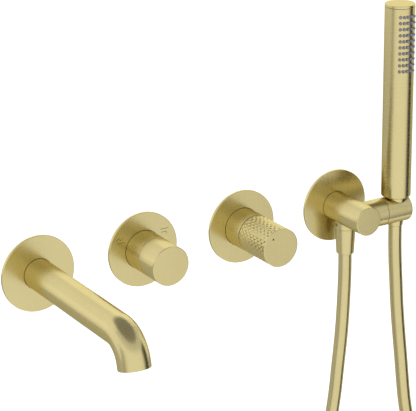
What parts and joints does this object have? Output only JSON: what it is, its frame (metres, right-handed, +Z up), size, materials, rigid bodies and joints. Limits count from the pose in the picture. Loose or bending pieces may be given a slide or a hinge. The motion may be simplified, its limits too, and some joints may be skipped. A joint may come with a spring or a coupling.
{
  "type": "wall mounted bath faucet",
  "caption": "Wall mounted bath set in brushed gold: tubular spout, smooth diverter knob, knurled mixer knob, and an outlet with holder, hose and stick hand shower.",
  "frame": {"origin": "where the mixer's axis meets the finished wall", "axes": "+X along the row towards the hand shower, +Y into the wall, +Z up; the user stands at -Y"},
  "size_m": [0.5257, 0.2408, 0.7983],
  "materials": {
    "brushed_gold": "fine brushed pale gold, semi-gloss",
    "hose_cover": "smooth gold-coloured hose cover, semi-gloss",
    "raw_brass": "turned, unplated",
    "stainless_steel": "turned",
    "black_rubber": "matt",
    "grey_silicone": "satin",
    "white_plastic": "moulded, satin",
    "dark_plastic": "moulded, satin",
    "index_enamel": "matt"
  },
  "bodies": {
    "root": {"aerator_housing": "dark_plastic", "aerator_insert": "white_plastic", "aerator_washer": "black_rubber", "check_valve": "white_plastic", "diverter_cartridge": "white_plastic", "diverter_cartridge_nut": "raw_brass", "diverter_rosette": "brushed_gold", "diverter_rosette_seal": "black_rubber", "diverter_sleeve": "brushed_gold", "diverter_sleeve_o_ring": "black_rubber", "diverter_valve_body": "raw_brass", "holder_friction_washer": "dark_plastic", "holder_pivot": "stainless_steel", "hose_loop": "hose_cover", "mixer_cartridge": "white_plastic", "mixer_cartridge_nut": "raw_brass", "mixer_rosette": "brushed_gold", "mixer_rosette_seal": "black_rubber", "mixer_sleeve": "brushed_gold", "mixer_sleeve_o_ring": "black_rubber", "mixer_valve_body": "raw_brass", "outlet_body": "brushed_gold", "outlet_grub_screw": "stainless_steel", "outlet_hose_ferrule": "stainless_steel", "outlet_hose_nut": "brushed_gold", "outlet_hose_washer": "black_rubber", "outlet_inlet_nipple": "raw_brass", "outlet_rosette": "brushed_gold", "outlet_rosette_seal": "black_rubber", "spout_grub_screw": "stainless_steel", "spout_inlet_adapter": "raw_brass", "spout_o_ring": "black_rubber", "spout_rosette": "brushed_gold", "spout_rosette_seal": "black_rubber", "spout_tube": "brushed_gold"},
    "diverter_knob": {"diverter_grub_screw": "stainless_steel", "diverter_handle": "brushed_gold", "diverter_handle_adapter": "raw_brass", "diverter_spindle": "stainless_steel"},
    "mixer_knob": {"mixer_grub_screw": "stainless_steel", "mixer_handle": "brushed_gold", "mixer_handle_adapter": "raw_brass", "mixer_indicator": "index_enamel", "mixer_spindle": "stainless_steel"},
    "holder": {"holder_cup": "brushed_gold"},
    "hose_end": {"hose_lead": "hose_cover", "shower_hose_ferrule": "stainless_steel"},
    "hand_shower": {"shower_hose_cone": "brushed_gold", "shower_hose_washer": "black_rubber", "shower_barrel": "brushed_gold", "shower_cap": "brushed_gold", "shower_cap_seal": "black_rubber", "shower_flow_limiter": "white_plastic", "shower_inlet_connector": "raw_brass", "shower_nozzle_mat": "grey_silicone", "shower_waterway": "white_plastic"}
  },
  "joints": [
    {"name": "diverter_turn", "type": "hinge", "parent": "root", "child": "diverter_knob", "pos_m": [-0.12, 0, 0], "axis": [0, -1, 0], "range_deg": [0, 90]},
    {"name": "mixer_turn", "type": "hinge", "parent": "root", "child": "mixer_knob", "pos_m": [0, 0, 0], "axis": [0, -1, 0], "range_deg": [0, 110]},
    {"name": "holder_tilt", "type": "hinge", "parent": "root", "child": "holder", "pos_m": [0.12, -0.047, 0], "axis": [1, 0, 0], "range_deg": [-6, 20]},
    {"name": "shower_lift", "type": "slide", "parent": "holder", "child": "hose_end", "axis": [0, 0, 1], "range_m": [0, 0.04]},
    {"name": "shower_turn", "type": "hinge", "parent": "hose_end", "child": "hand_shower", "pos_m": [0.1686, -0.047, 0], "axis": [0, 0, 1], "continuous": true}
  ]
}
